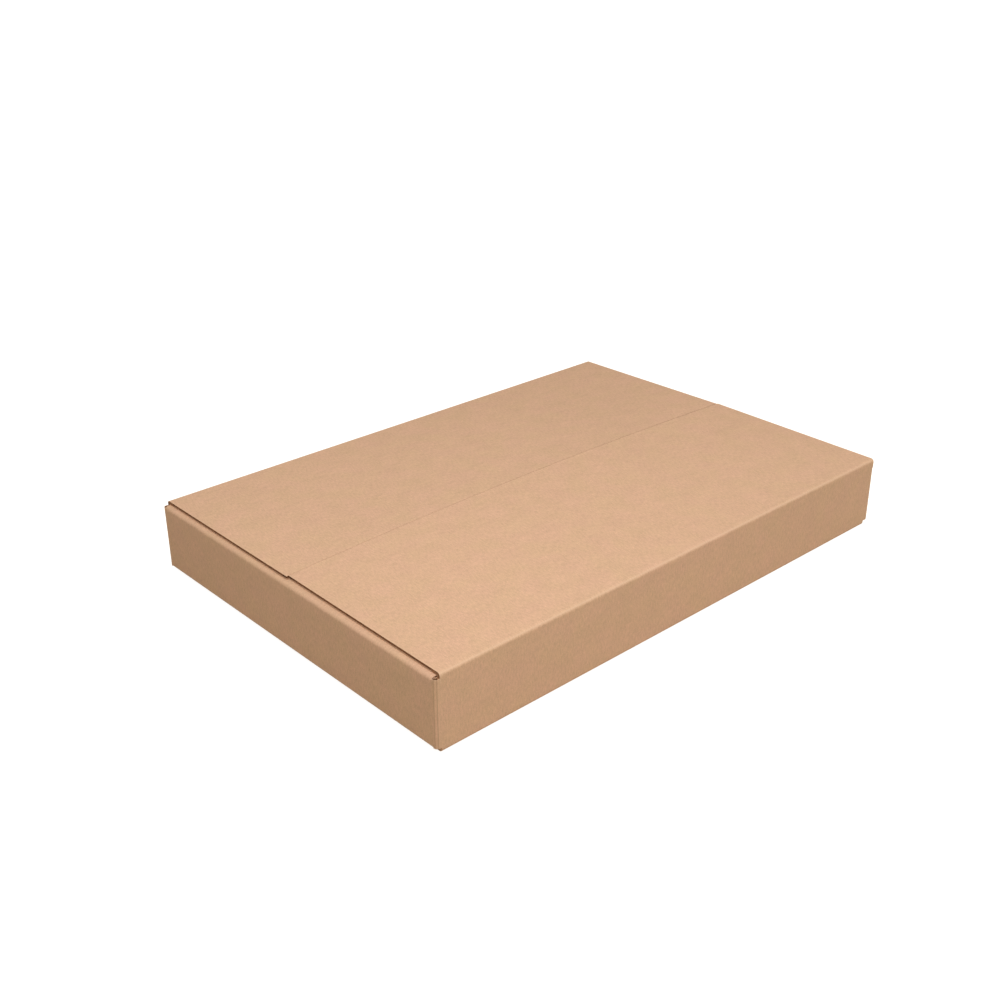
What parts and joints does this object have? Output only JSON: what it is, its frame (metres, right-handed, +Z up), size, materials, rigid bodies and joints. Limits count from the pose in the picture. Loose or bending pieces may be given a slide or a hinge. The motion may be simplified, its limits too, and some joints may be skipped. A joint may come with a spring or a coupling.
{
  "type": "shallow cardboard carton",
  "caption": "Shallow closed shipping carton of kraft corrugated board, with two outer top flaps that meet along the middle and hinge open.",
  "frame": {"origin": "middle of the footprint, on the surface the carton stands on", "axes": "+Z up, +X along the long walls towards the end with the glued joint, +Y towards the rear wall"},
  "size_m": [0.4306, 0.3, 0.0594],
  "materials": {
    "kraft_board": "matt unprinted kraft liner"
  },
  "bodies": {
    "carton": {"carton_body": "kraft_board"},
    "front_flap": {"front_top_flap": "kraft_board"},
    "rear_flap": {"rear_top_flap": "kraft_board"}
  },
  "joints": [
    {"name": "front_flap_crease", "type": "hinge", "parent": "carton", "child": "front_flap", "pos_m": [0, -0.14927, 0.05327], "axis": [1, 0, 0], "range_deg": [0, 180]},
    {"name": "rear_flap_crease", "type": "hinge", "parent": "carton", "child": "rear_flap", "pos_m": [0, 0.14927, 0.05327], "axis": [-1, 0, 0], "range_deg": [0, 180]}
  ]
}
